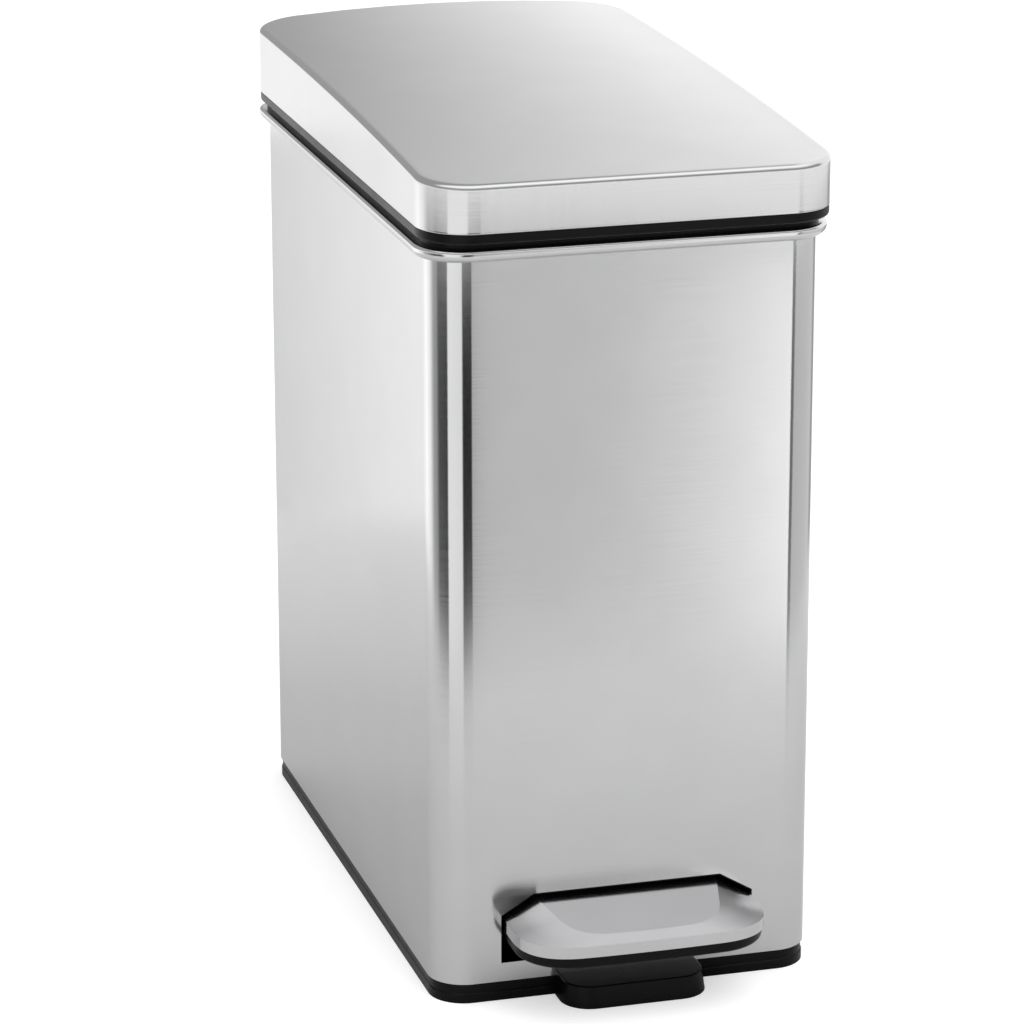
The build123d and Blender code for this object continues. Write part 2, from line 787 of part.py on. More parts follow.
# Rod foot: slotted block at the bottom of the lift rod, between the lever's cheeks
foot_half_x = lever_half_width - lever_steel - 2.0
foot_half_y = 6.0
block_round = 1.5
foot_low = lever_end_height - foot_half_y
foot_high = lever_end_height + 8.0
rod_low = lever_end_height + 3.5
foot_slot_travel = lever_reach * (1 - cos(radians(pedal_angle))) + 0.4
with BuildPart() as rod_foot:
    block(-foot_half_x, foot_half_x, rod_y - foot_half_y, rod_y + foot_half_y, foot_low, foot_high)
    fillet(rod_foot.edges().filter_by(Axis.X), block_round)
    block(
        -foot_half_x,
        foot_half_x,
        rod_y - lever_pin_radius - foot_slot_travel,
        rod_y + lever_pin_radius + slot_gap,
        lever_end_height - lever_pin_radius - slot_gap,
        lever_end_height + lever_pin_radius + slot_gap,
        Mode.SUBTRACT,
    )
    rod_upright(0, rod_y, rod_low, foot_high, rod_radius + pin_gap, Mode.SUBTRACT)
rod_foot.part.label = "rod_foot"
export_step(rod_foot.part, "parts/rod_foot.step")

# Rod head: slotted block at the top of the lift rod, in which the crank pin of the lid rides
crank_pin_y = hinge_y + crank_radius * cos(radians(crank_start))
crank_pin_z = hinge_height + crank_radius * sin(radians(crank_start))
crank_slot_play = 0.5
head_half_x = 6.0
head_wall = 2.6
head_slot_front = hinge_y - crank_radius - crank_pin_radius - slot_gap
head_slot_back = crank_pin_y + crank_pin_radius + slot_gap
head_front = head_slot_front - head_wall
head_back = head_slot_back + head_wall
head_low = crank_pin_z - 14.0
head_high = crank_pin_z + 5.4
rod_high = crank_pin_z - 4.0
with BuildPart() as rod_head:
    block(-head_half_x, head_half_x, head_front, head_back, head_low, head_high)
    fillet(rod_head.edges().filter_by(Axis.X), block_round)
    block(
        -head_half_x,
        head_half_x,
        head_slot_front,
        head_slot_back,
        crank_pin_z - crank_pin_radius - crank_slot_play,
        crank_pin_z + crank_pin_radius + crank_slot_play,
        Mode.SUBTRACT,
    )
    rod_upright(0, rod_y, head_low, rod_high, rod_radius + pin_gap, Mode.SUBTRACT)
rod_head.part.label = "rod_head"
export_step(rod_head.part, "parts/rod_head.step")

# Lift rod: straight steel rod from foot to head
with BuildPart() as lift_rod:
    rod_upright(0, rod_y, rod_low, rod_high, rod_radius)
lift_rod.part.label = "lift_rod"
export_step(lift_rod.part, "parts/lift_rod.step")

# Damper piston: clamped on the lift rod below the cylinder, its thin rod and head run up inside
clamp_clear = 2.0
clamp_height = 8.0
clamp_half = 4.5
clamp_reach = 3.0
clamp_round = 2.0
piston_rise = 8.0
piston_height = 6.0
piston_rod = 1.5
clamp_high = damper_low - rod_lift - clamp_clear
clamp_low = clamp_high - clamp_height
piston_low = damper_low + piston_rise
piston_high = piston_low + piston_height
with BuildPart() as damper_piston:
    block(-clamp_half, damper_x + clamp_reach, rod_y - clamp_half, rod_y + clamp_half, clamp_low, clamp_high)
    fillet(damper_piston.edges().filter_by(Axis.Z), clamp_round)
    rod_upright(damper_x, rod_y, clamp_high, piston_low, piston_rod)
    rod_upright(damper_x, rod_y, piston_low, piston_high, damper_bore - running_gap)
    rod_upright(0, rod_y, clamp_low, clamp_high, rod_radius + pin_gap, Mode.SUBTRACT)
damper_piston.part.label = "damper_piston"
export_step(damper_piston.part, "parts/damper_piston.step")


def lid_top_sketches(lower, low):
    """Cross sections of the domed lid along its depth, their tops lowered by lower."""
    stations = 7
    reach = 2.0
    sections = []
    for step in range(stations):
        y = lid_front_y - reach + step * (lid_depth + 2 * reach) / (stations - 1)
        share = min(max((y - lid_front_y) / lid_depth, 0.0), 1.0)
        rise = lid_back_rise * (1 - (1 - share) ** lid_rise_power)
        edge = lid_low + lid_front_height + rise - lower
        crown = lid_front_crown + lid_back_crown * share
        half = lid_width / 2
        with BuildSketch(Plane.XZ.offset(-y)) as section:
            with BuildLine():
                Polyline((half, edge), (half, low), (-half, low), (-half, edge))
                ThreePointArc((-half, edge), (0, edge + crown), (half, edge))
            make_face()
        sections.append(section.sketch)
    return sections


def lid_block(inset, lower, low):
    """Domed block with the lid's outline drawn in by inset and its top lowered by lower."""
    with BuildPart() as dome:
        loft(lid_top_sketches(lower, low))
        with BuildSketch(Plane.XY.offset(low)) as outline:
            with Locations((0, lid_middle_y)):
                RectangleRounded(lid_width - 2 * inset, lid_depth - 2 * inset, lid_radius - inset)
        extrude(outline.sketch, amount=lid_front_height * 3, mode=Mode.INTERSECT)
    return dome.part


# Lid shell: one sheet of brushed steel, domed on top, with an upright skirt
lid_outer = lid_block(0, 0, lid_low)
lid_inner = lid_block(lid_steel, lid_steel, lid_low)
with BuildPart() as lid_shell:
    add(lid_outer)
    fillet(lid_shell.faces().sort_by(Axis.Z)[-1].edges(), lid_edge_round)
    add(lid_inner, mode=Mode.SUBTRACT)
lid_shell.part.label = "lid_shell"
export_step(lid_shell.part, "parts/lid_shell.step")

# Lid liner: black moulding inside the steel, with the flange that shows below it
liner_inset = lid_steel + skin_gap
liner_top = liner_inset + 0.9
cavity_inset = liner_inset + liner_wall
seat_low = hinge_height + 17.5
seat_half = 28.0
seat_front = hinge_y - 27.0
seat_back = hinge_y + 1.0
flange_cut_half = 60.0
flange_cut_front = hinge_y - 30.0
bumper_radius = 3.5
bumper_depth = 2.5
bumper_gap = 0.3
bumper_x = lid_width / 2 - 7.5
bumper_places = [(x, y) for x in (-bumper_x, bumper_x) for y in (front_y + 40.0, back_y - 60.0)]
flange_round = 1.4
flange_gap = 0.2
flange_end = 1.5
arm_plate = 3.0
arm_screw_places = [(x, y) for x in (-21.0, 21.0) for y in (hinge_y - 21.0, hinge_y - 7.0)]
arm_screw_high = seat_low + 4.0
liner_outer = lid_block(liner_inset, liner_top, lid_low)
liner_hollow = lid_block(cavity_inset, liner_top + liner_wall, lid_low)
with BuildPart() as liner_cavity:
    add(liner_hollow)
    block(-seat_half, seat_half, seat_front, seat_back, seat_low, seat_low + 20, Mode.SUBTRACT)
with BuildPart() as lid_liner:
    lid_slab(flange_low, lid_low, flange_gap)
    fillet(lid_liner.faces().sort_by(Axis.Z)[0].edges(), flange_round)
    add(liner_outer)
    add(liner_cavity.part, mode=Mode.SUBTRACT)
    lid_slab(flange_low, lid_low, flange_width, Mode.SUBTRACT)
    block(
        -lid_width / 2 - 1,
        lid_width / 2 + 1,
        hinge_y + flange_end,
        lid_back_y + 1,
        flange_low,
        lid_low,
        Mode.SUBTRACT,
    )
    block(
        -flange_cut_half,
        flange_cut_half,
        flange_cut_front,
        lid_back_y + 1,
        flange_low,
        lid_low,
        Mode.SUBTRACT,
    )
    for x, y in bumper_places:
        rod_upright(x, y, flange_low, flange_low + bumper_depth, bumper_radius + pin_gap, Mode.SUBTRACT)
    for x, y in arm_screw_places:
        rod_upright(x, y, seat_low, arm_screw_high, screw_radius + pin_gap, Mode.SUBTRACT)
lid_liner.part.label = "lid_liner"
export_step(lid_liner.part, "parts/lid_liner.step")

# Lid bumpers: soft buttons in the flange that meet the collar's rim
with BuildPart() as lid_bumpers:
    for x, y in bumper_places:
        rod_upright(x, y, rim_top + bumper_gap, flange_low + bumper_depth, bumper_radius)
lid_bumpers.part.label = "lid_bumpers"
export_step(lid_bumpers.part, "parts/lid_bumpers.step")

# Lid arms: plate on the liner's seat, web, barrel on the hinge pin and the two cheeks of the crank
barrel_gap = 0.7
web_half = 1.5
cheek_plate = 2.5
crank_wall = 2.5
barrel_half = ear_place - ear_steel / 2 - barrel_gap
cheek_inner = head_half_x + 1.0
cheek_outer = cheek_inner + cheek_plate
with BuildPart() as lid_arms:
    block(
        -barrel_half, barrel_half, seat_front + 0.5, hinge_y + web_half, seat_low - arm_plate, seat_low
    )
    block(
        -barrel_half,
        barrel_half,
        hinge_y - web_half,
        hinge_y + web_half,
        hinge_height,
        seat_low - arm_plate,
    )
    rod_along_x(-barrel_half, barrel_half, hinge_y, hinge_height, barrel_radius)
    for side in (-1, 1):
        low, high = sorted((side * cheek_inner, side * cheek_outer))
        with BuildSketch(Plane.YZ.offset(low)):
            with Locations((hinge_y, hinge_height)):
                Circle(barrel_radius)
            with Locations((crank_pin_y, crank_pin_z)):
                Circle(crank_pin_radius + crank_wall)
            make_hull()
        extrude(amount=high - low)
    rod_along_x(
        -barrel_half,
        barrel_half,
        hinge_y,
        hinge_height,
        hinge_pin_radius + running_gap,
        Mode.SUBTRACT,
    )
    rod_along_x(
        -cheek_outer,
        cheek_outer,
        crank_pin_y,
        crank_pin_z,
        crank_pin_radius + pin_gap,
        Mode.SUBTRACT,
    )
    for x, y in arm_screw_places:
        rod_upright(x, y, seat_low - arm_plate, seat_low, screw_radius + pin_gap, Mode.SUBTRACT)
lid_arms.part.label = "lid_arms"
export_step(lid_arms.part, "parts/lid_arms.step")

# Crank pin: between the cheeks of the crank, through the slot of the rod head
crank_pin_end = cheek_outer + 0.8
with BuildPart() as crank_pin:
    rod_along_x(-crank_pin_end, crank_pin_end, crank_pin_y, crank_pin_z, crank_pin_radius)
crank_pin.part.label = "crank_pin"
export_step(crank_pin.part, "parts/crank_pin.step")

# Arm screws: through the plate of the arms into the seat of the liner
with BuildPart() as arm_screws:
    for x, y in arm_screw_places:
        rod_upright(x, y, seat_low - arm_plate, arm_screw_high, screw_radius)
        rod_upright(x, y, seat_low - arm_plate - head_height, seat_low - arm_plate, head_radius)
arm_screws.part.label = "arm_screws"
export_step(arm_screws.part, "parts/arm_screws.step")
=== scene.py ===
"""Looks of the slim step can: smooth steel pieces, a finish for every piece, a pale studio, the camera."""

import json
import logging
import math
from dataclasses import dataclass, field, replace
from enum import Enum

import bmesh
import bpy
import numpy as np
from mathutils import Euler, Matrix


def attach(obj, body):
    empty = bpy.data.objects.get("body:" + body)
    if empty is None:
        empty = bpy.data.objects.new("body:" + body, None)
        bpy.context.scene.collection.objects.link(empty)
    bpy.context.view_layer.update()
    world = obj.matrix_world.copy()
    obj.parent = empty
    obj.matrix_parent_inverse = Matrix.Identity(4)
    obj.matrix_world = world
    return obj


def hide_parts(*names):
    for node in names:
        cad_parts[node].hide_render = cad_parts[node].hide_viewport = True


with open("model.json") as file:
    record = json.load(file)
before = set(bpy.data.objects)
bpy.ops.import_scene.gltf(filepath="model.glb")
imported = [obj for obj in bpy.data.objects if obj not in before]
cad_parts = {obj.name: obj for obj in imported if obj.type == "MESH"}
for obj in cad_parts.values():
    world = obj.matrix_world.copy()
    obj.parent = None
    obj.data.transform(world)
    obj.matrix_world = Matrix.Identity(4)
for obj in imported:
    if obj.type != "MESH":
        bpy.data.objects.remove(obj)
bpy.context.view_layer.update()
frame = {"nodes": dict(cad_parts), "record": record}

logging.basicConfig(level=logging.INFO, format="%(message)s")
log = logging.getLogger("step_can")

MM = 0.001
# Points closer than this are one point
WELD = 0.001 * MM
# Most of a noise texture's values lie between these two
NOISE_SPAN = {"From Min": 0.3, "From Max": 0.7}


class Body(Enum):
    """The CAD bodies that a piece can ride on."""

    CAN = "can"
    LID = "lid"
    PEDAL = "pedal"


def linear(colour: str) -> tuple[float, float, float, float]:
    """Turns an sRGB hex colour into linear values.

    Args:
        colour: Six hex digits after a hash sign.

    Returns:
        Linear red, green, blue and an alpha of one.
    """
    values = [int(colour[place : place + 2], 16) / 255 for place in (1, 3, 5)]
    red, green, blue = [v / 12.92 if v <= 0.04045 else ((v + 0.055) / 1.055) ** 2.4 for v in values]
    return (red, green, blue, 1.0)


def add_node(
    tree: bpy.types.NodeTree,
    kind: str,
    settings: dict | None = None,
    links: dict | None = None,
) -> bpy.types.Node:
    """Adds one shader node, sets it up and links it.

    Args:
        tree: The node tree that takes the node.
        kind: The node's type name without the ShaderNode prefix.
        settings: Values by input name or index, or by attribute name.
        links: Output sockets by the name or index of the input they feed.

    Returns:
        The new node.
    """
    node = tree.nodes.new(f"ShaderNode{kind}")
    for name, value in (settings or {}).items():
        if isinstance(name, str) and hasattr(node, name):
            setattr(node, name, value)
        else:
            node.inputs[name].default_value = value
    for name, socket in (links or {}).items():
        tree.links.new(socket, node.inputs[name])
    return node


def new_material(name: str) -> tuple[bpy.types.Material, bpy.types.NodeTree]:
    """Makes an empty material that uses nodes.

    Args:
        name: The material's name.

    Returns:
        The material and its cleared node tree.
    """
    material = bpy.data.materials.new(name)
    material.use_nodes = True
    material.node_tree.nodes.clear()
    return material, material.node_tree


@dataclass(frozen=True)
class BrushedSteel:
    """Stainless steel sheet, belt brushed: a pale grey metal whose reflections smear across the lines.

    The lines of a belt are about 0.1 mm apart. That is too fine for the picture, so they are drawn
    0.5 mm apart and faint. Along its length a line stays alike for some centimetres. The lines run
    along u of the piece's UV map, so reflections smear by a quarter turn from there.
    """

    name: str = "stainless_steel_belt_brushed"
    colour: str = "#CFCFD0"
    roughness: float = 0.125
    roughness_spread: float = 0.02
    anisotropy: float = 0.88
    smear_turn: float = 0.25
    line_pitch: float = 0.5 * MM
    line_length: float = 45 * MM
    tilt: float = 0.008
    cloud_size: float = 35.7 * MM
    cloud_shade: float = 0.965

    def build(self) -> bpy.types.Material:
        """Makes the material.

        Returns:
            A metal with fine lines in its roughness and in the tilt of its normal.
        """
        material, tree = new_material(self.name)
        uv = add_node(tree, "UVMap", {"uv_map": "metres"})
        stretched = add_node(
            tree,
            "Mapping",
            {"Scale": (1 / self.line_length, 1 / self.line_pitch, 1.0)},
            {"Vector": uv.outputs[0]},
        )
        lines = add_node(
            tree,
            "TexNoise",
            {"Scale": 1.0, "Detail": 3.0, "Roughness": 0.6},
            {"Vector": stretched.outputs[0]},
        )
        cloud = add_node(
            tree,
            "TexNoise",
            {"Scale": 1 / self.cloud_size, "Detail": 2.0},
            {"Vector": uv.outputs[0]},
        )
        rough = add_node(
            tree,
            "MapRange",
            {
                **NOISE_SPAN,
                "To Min": self.roughness - self.roughness_spread,
                "To Max": self.roughness + self.roughness_spread,
            },
            {"Value": lines.outputs["Fac"]},
        )
        shade = add_node(
            tree,
            "MapRange",
            {**NOISE_SPAN, "To Min": self.cloud_shade, "To Max": 1.0},
            {"Value": cloud.outputs["Fac"]},
        )
        base = add_node(
            tree,
            "Mix",
            {"data_type": "RGBA", "blend_type": "MULTIPLY", 0: 1.0, 6: linear(self.colour)},
            {7: shade.outputs[0]},
        )
        tangent = add_node(tree, "Tangent", {"direction_type": "UV_MAP", "uv_map": "metres"})
        lean = add_node(
            tree,
            "MapRange",
            {**NOISE_SPAN, "To Min": -self.tilt, "To Max": self.tilt},
            {"Value": lines.outputs["Fac"]},
        )
        push = add_node(
            tree,
            "VectorMath",
            {"operation": "SCALE"},
            {0: tangent.outputs[0], "Scale": lean.outputs[0]},
        )
        surface = add_node(tree, "NewGeometry")
        leaned = add_node(
            tree,
            "VectorMath",
            {"operation": "ADD"},
            {0: surface.outputs["Normal"], 1: push.outputs[0]},
        )
        normal = add_node(tree, "VectorMath", {"operation": "NORMALIZE"}, {0: leaned.outputs[0]})
        metal = add_node(
            tree,
            "BsdfPrincipled",
            {"Metallic": 1.0, "Anisotropic": self.anisotropy, "Anisotropic Rotation": self.smear_turn},
            {
                "Base Color": base.outputs[2],
                "Roughness": rough.outputs[0],
                "Normal": normal.outputs[0],
                "Tangent": tangent.outputs[0],
            },
        )
        add_node(tree, "OutputMaterial", links={"Surface": metal.outputs[0]})
        return material


@dataclass(frozen=True)
class PlainMetal:
    """Metal with an even finish, such as rolled steel or zinc plating, with a soft mottle."""

    name: str
    colour: str
    roughness: float
    mottle: float = 0.05
    mottle_size: float = 3 * MM

    def build(self) -> bpy.types.Material:
        """Makes the material.

        Returns:
            A metal whose roughness varies softly.
        """
        material, tree = new_material(self.name)
        place = add_node(tree, "TexCoord")
        spots = add_node(
            tree,
            "TexNoise",
            {"Scale": 1 / self.mottle_size, "Detail": 3.0},
            {"Vector": place.outputs["Object"]},
        )
        rough = add_node(
            tree,
            "MapRange",
            {
                **NOISE_SPAN,
                "To Min": self.roughness - self.mottle,
                "To Max": self.roughness + self.mottle,
            },
            {"Value": spots.outputs["Fac"]},
        )
        metal = add_node(
            tree,
            "BsdfPrincipled",
            {"Metallic": 1.0, "Base Color": linear(self.colour)},
            {"Roughness": rough.outputs[0]},
        )
        add_node(tree, "OutputMaterial", links={"Surface": metal.outputs[0]})
        return material


@dataclass(frozen=True)
class MouldedPlastic:
    """Moulded plastic or rubber: an even colour, a soft sheen and the fine grain of the mould."""

    name: str
    colour: str
    roughness: float
    grain: float = 0.35 * MM
    grain_depth: float = 0.004 * MM
    ior: float = 1.46
    sheen: float = 0.5
    cloud_size: float = 25 * MM
    smoother: float = 0.04
    rougher: float = 0.05

    def build(self) -> bpy.types.Material:
        """Makes the material.

        Returns:
            A plastic with a fine grain in its bump and roughness.
        """
        material, tree = new_material(self.name)
        place = add_node(tree, "TexCoord")
        specks = add_node(
            tree,
            "TexNoise",
            {"Scale": 1 / self.grain, "Detail": 2.0},
            {"Vector": place.outputs["Object"]},
        )
        cloud = add_node(
            tree,
            "TexNoise",
            {"Scale": 1 / self.cloud_size, "Detail": 3.0},
            {"Vector": place.outputs["Object"]},
        )
        rough = add_node(
            tree,
            "MapRange",
            {
                **NOISE_SPAN,
                "To Min": self.roughness - self.smoother,
                "To Max": self.roughness + self.rougher,
            },
            {"Value": cloud.outputs["Fac"]},
        )
        bump = add_node(
            tree,
            "Bump",
            {"Strength": 0.5, "Distance": self.grain_depth},
            {"Height": specks.outputs["Fac"]},
        )
        plastic = add_node(
            tree,
            "BsdfPrincipled",
            {"Base Color": linear(self.colour), "IOR": self.ior, "Specular IOR Level": self.sheen},
            {"Roughness": rough.outputs[0], "Normal": bump.outputs[0]},
        )
        add_node(tree, "OutputMaterial", links={"Surface": plastic.outputs[0]})
        return material


@dataclass
class Finishes:
    """One finish for each material slot of the record, made when it is first asked for."""

    plain: dict[str, PlainMetal | MouldedPlastic] = field(
        default_factory=lambda: {
            # Rolled bead, lightly polished, so its highlights are tighter than the sheet's
            "bead_steel": PlainMetal("stainless_steel_rolled", "#D2D2D3", 0.18, 0.02),
            # Polypropylene from a fine-grained mould: deep black with a soft grey highlight
            "black_plastic": MouldedPlastic("polypropylene_black_moulded", "#070607", 0.3, sheen=0.16),
            # Acetal sliding parts, smooth and slightly waxy
            "grey_plastic": MouldedPlastic("acetal_grey_moulded", "#8E9094", 0.4),
            # Bucket of dark polypropylene, grained so that it hides scratches
            "bucket_plastic": MouldedPlastic("polypropylene_charcoal_moulded", "#3A3B3D", 0.45, 0.6 * MM),
            # Bright zinc plating on pressed steel, a little blue and cloudy
            "zinc_steel": PlainMetal("zinc_plated_steel", "#C3C8CE", 0.34, 0.07),
            # Drawn and nickel plated wire, almost a mirror
            "wire_steel": PlainMetal("nickel_plated_wire", "#D8D6D2", 0.16, 0.03),
            # Soft rubber, matt and grey-black
            "pad_rubber": MouldedPlastic("rubber_black", "#1B1B1C", 0.75, 0.5 * MM, 0.01 * MM, 1.52),
        }
    )
    sheet: BrushedSteel = field(default_factory=BrushedSteel)
    made: dict[str, bpy.types.Material] = field(default_factory=dict)

    def get(self, slot: str) -> bpy.types.Material:
        """Gives the material of a slot.

        Args:
            slot: The record's slot name.

        Returns:
            The material, built once.
        """
        if slot not in self.made:
            finish = self.plain.get(slot)
            if finish is None:
                finish = PlainMetal("stainless_steel_satin", self.sheet.colour, self.sheet.roughness)
            self.made[slot] = finish.build()
        return self.made[slot]

    def brushed(self, name: str) -> bpy.types.Material:
        """Gives brushed steel for a piece that has a UV map.

        Args:
            name: What the sheet is for.

        Returns:
            A new material, named for that sheet.
        """
        return replace(self.sheet, name=f"stainless_steel_brushed_{name}").build()


def add_mesh(
    name: str,
    points: np.ndarray,
    faces: list[list[int]],
    uv: np.ndarray | None = None,
    sharp: float = 35.0,
) -> bpy.types.Object:
    """Makes a mesh object at the origin from points and faces.

    Args:
        name: The object's name.
        points: Points in metres, one row each.
        faces: Faces as lists of point numbers.
        uv: Surface coordinates in metres, one row for each point, or None.
        sharp: Edges that turn by more than this many degrees stay sharp.

    Returns:
        The new object.
    """
    mesh = bpy.data.meshes.new(name)
    mesh.from_pydata(points.reshape(-1, 3).tolist(), [], faces)
    if uv is not None:
        layer = mesh.uv_layers.new(name="metres")
        corner_points = np.empty(len(mesh.loops), dtype=np.int64)
        mesh.loops.foreach_get("vertex_index", corner_points)
        layer.data.foreach_set("uv", uv.reshape(-1, 2)[corner_points].astype(np.float32).ravel())
    work = bmesh.new()
    work.from_mesh(mesh)
    bmesh.ops.remove_doubles(work, verts=work.verts, dist=WELD)
    bmesh.ops.recalc_face_normals(work, faces=work.faces)
    work.to_mesh(mesh)
    work.free()
    mesh.polygons.foreach_set("use_smooth", [True] * len(mesh.polygons))
    mesh.set_sharp_from_angle(angle=math.radians(sharp))
    piece = bpy.data.objects.new(name, mesh)
    bpy.context.scene.collection.objects.link(piece)
    return piece


def thicken(piece: bpy.types.Object, thickness: float, sharp: float = 35.0) -> None:
    """Gives a sheet its thickness, inwards from its outer face, and keeps its cut edges crisp.

    Args:
        piece: A piece whose mesh is its outer face.
        thickness: Thickness of the sheet.
        sharp: Edges that turn by more than this many degrees stay sharp.
    """
    sheet = piece.modifiers.new("sheet", "SOLIDIFY")
    sheet.thickness = thickness
    sheet.offset = -1.0
    sheet.use_even_offset = True
    solid = bpy.data.meshes.new_from_object(piece.evaluated_get(bpy.context.evaluated_depsgraph_get()))
    piece.modifiers.clear()
    piece.data = solid
    solid.set_sharp_from_angle(angle=math.radians(sharp))


def mark_edges(piece: bpy.types.Object, points: np.ndarray) -> None:
    """Marks the edges that run between given points as sharp, and as edges for a weighted bevel.

    Args:
        piece: The piece whose edges are marked.
        points: Points in metres that lie on those edges.
    """
    mesh = piece.data
    places = np.empty(len(mesh.vertices) * 3)
    mesh.vertices.foreach_get("co", places)
    gaps = np.linalg.norm(places.reshape(-1, 1, 3) - points[None], axis=2).min(axis=1)
    ends = np.empty(len(mesh.edges) * 2, dtype=np.int64)
    mesh.edges.foreach_get("vertices", ends)
    is_marked = (gaps < 2 * WELD)[ends.reshape(-1, 2)].all(axis=1)
    weights = mesh.attributes.new("bevel_weight_edge", "FLOAT", "EDGE")
    weights.data.foreach_set("value", is_marked.astype(np.float32))
    sharp = mesh.attributes.get("sharp_edge") or mesh.attributes.new("sharp_edge", "BOOLEAN", "EDGE")
    is_sharp = np.empty(len(mesh.edges), dtype=bool)
    sharp.data.foreach_get("value", is_sharp)
    sharp.data.foreach_set("value", is_sharp | is_marked)
    log.info("%s has %d marked edges", piece.name, int(is_marked.sum()))


def grid_faces(rows: int, columns: int, close_columns: bool, close_rows: bool = False) -> np.ndarray:
    """Numbers the four corners of every cell of a grid of points.

    Args:
        rows: Number of rows of points.
        columns: Number of points in a row.
        close_columns: True if the last point of a row joins the first.
        close_rows: True if the last row joins the first.

    Returns:
        An array with four point numbers for each face.
    """
    row = np.arange(rows if close_rows else rows - 1)[:, None]
    column = np.arange(columns if close_columns else columns - 1)[None, :]
    here = row * columns
    above = ((row + 1) % rows) * columns
    beside = (column + 1) % columns
    return np.stack([here + column, here + beside, above + beside, above + column], axis=-1).reshape(-1, 4)


def place_piece(piece: bpy.types.Object, body: Body, slot: str, *nodes: str) -> None:
    """Says what a finished piece rides on and what it stands for.

    Args:
        piece: The finished piece.
        body: The body it rides on.
        slot: The record's material slot; not used.
        *nodes: The CAD nodes it stands for.
    """
    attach(piece, body.value)
    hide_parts(*nodes)
    log.info("piece %s on %s stands for %s", piece.name, body.value, ", ".join(nodes))


@dataclass(frozen=True)
class Outline:
    """Rounded rectangle seen from above, run from the middle of the front to the right and round.

    A point of a straight side is p = c + s * side, and one of a corner is p = k + r * (sin a, -cos a)
    about the corner's centre k. Beside each point stands its outward normal and its distance run.
    A guard point just beside each corner keeps the shading of the straight sides flat.
    """

    width: float
    depth: float
    radius: float
    middle_y: float
    corner_steps: int = 28
    front_marks: tuple[float, ...] = ()
    guard: float = 0.4 * MM
    longest_step: float = 20 * MM

    def trace(self) -> tuple[np.ndarray, np.ndarray, np.ndarray]:
        """Traces the outline.

        Returns:
            Points, outward normals and distances run, the first point being repeated at the end.
        """
        half_x = self.width / 2 - self.radius
        half_y = self.depth / 2 - self.radius
        centres = np.array([[half_x, -half_y], [half_x, half_y], [-half_x, half_y], [-half_x, -half_y]])
        turns = np.linspace(0, math.pi / 2, self.corner_steps + 1)
        front = np.array([[x, -self.depth / 2] for x in (0.0, *self.front_marks)])
        facing = np.repeat([[0.0, -1.0]], len(front), axis=0)
        points, normals = [front], [facing]
        for quarter, centre in enumerate(centres):
            angle = turns + quarter * math.pi / 2
            normal = np.stack([np.sin(angle), -np.cos(angle)], axis=1)
            guard = self.guard * np.stack([np.cos(angle), np.sin(angle)], axis=1)
            arc = centre + self.radius * normal
            points.append(np.concatenate([arc[:1] - guard[:1], arc, arc[-1:] + guard[-1:]]))
            normals.append(np.concatenate([normal[:1], normal, normal[-1:]]))
        points.append(front[::-1] * [-1.0, 1.0])
        normals.append(facing)
        rows = self.fill_long_sides(np.hstack([np.concatenate(points), np.concatenate(normals)]))
        run = np.concatenate([[0.0], np.cumsum(np.linalg.norm(np.diff(rows[:, :2], axis=0), axis=1))])
        return rows[:, :2] + [0.0, self.middle_y], rows[:, 2:], run

    def fill_long_sides(self, rows: np.ndarray) -> np.ndarray:
        """Puts extra points on the sides and the back, so that no face is a long sliver.

        Args:
            rows: Points of the outline, with their normals beside them.

        Returns:
            The same rows with the extra ones among them.
        """
        filled = [rows[:1]]
        for start, end in zip(rows[:-1], rows[1:]):
            is_front = start[1] < -self.depth / 2 + WELD
            length = np.linalg.norm(end[:2] - start[:2])
            steps = 1 if is_front else max(1, int(length // self.longest_step))
            share = np.linspace(0, 1, steps + 1)[1:, None]
            filled.append(start + share * (end - start))
        return np.concatenate(filled)


